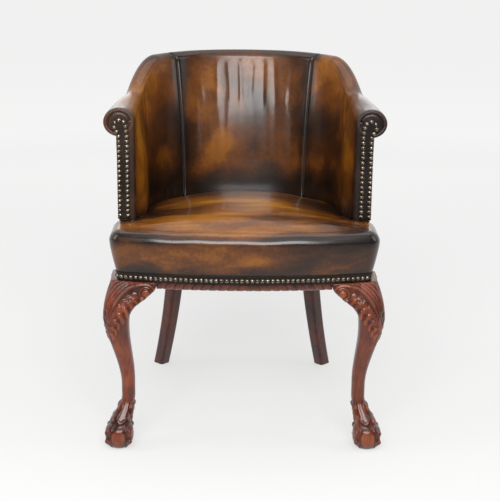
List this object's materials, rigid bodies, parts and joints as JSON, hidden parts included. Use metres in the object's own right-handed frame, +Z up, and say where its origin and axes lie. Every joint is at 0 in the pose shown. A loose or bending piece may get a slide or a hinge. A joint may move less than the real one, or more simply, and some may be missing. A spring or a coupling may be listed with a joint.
{
  "type": "desk armchair",
  "caption": "Tub-shaped desk armchair with a raised curved back, scrolled arms, a bow-fronted sprung seat, carved cabriole front legs with ball-and-claw feet, and swept back legs.",
  "frame": {"origin": "on the floor, under the middle of the width and of the depth", "axes": "+Z up, -Y towards the front of the chair, +X towards the right as seen from the front"},
  "size_m": [0.621, 0.6079, 0.8405],
  "materials": {
    "hide": "hand-dyed antique brown, glossy",
    "dark_hide": "near-black brown, glossy",
    "mahogany": "stained and waxed, satin",
    "beech": "plain",
    "canvas": "woven",
    "black_cloth": "woven",
    "spring_steel": "plain",
    "nail_brass": "antiqued, domed"
  },
  "bodies": {
    "root": {"front_leg_left": "mahogany", "front_leg_right": "mahogany", "ear_front_left": "mahogany", "ear_front_right": "mahogany", "ear_side_left": "mahogany", "ear_side_right": "mahogany", "back_leg_left": "mahogany", "back_leg_right": "mahogany", "front_rail": "beech", "side_rail_left": "beech", "side_rail_right": "beech", "back_rail": "beech", "corner_block_front_left": "beech", "corner_block_front_right": "beech", "corner_block_back_left": "beech", "corner_block_back_right": "beech", "gadroon_moulding": "mahogany", "arm_post_left": "beech", "arm_post_right": "beech", "back_post_left": "beech", "back_post_right": "beech", "arm_rail_left": "beech", "arm_rail_right": "beech", "crest_rail": "beech", "webbing_lengthwise": "canvas", "webbing_across": "canvas", "seat_springs": "spring_steel", "spring_canvas": "canvas", "bottom_cloth": "black_cloth", "seat_cushion": "hide", "seat_border": "hide", "inside_arm_left": "hide", "inside_arm_right": "hide", "inside_back": "hide", "outside_arm_left": "hide", "outside_arm_right": "hide", "outside_back": "hide", "piping_left": "dark_hide", "piping_right": "dark_hide", "scroll_panel_left": "dark_hide", "scroll_panel_right": "dark_hide", "facing_strip_left": "dark_hide", "facing_strip_right": "dark_hide", "banding_front": "dark_hide", "banding_side_left": "dark_hide", "banding_side_right": "dark_hide", "banding_back": "dark_hide", "nails_front": "nail_brass", "nails_side_left": "nail_brass", "nails_side_right": "nail_brass", "nails_back": "nail_brass", "nails_arm_left": "nail_brass", "nails_arm_right": "nail_brass"}
  },
  "joints": []
}
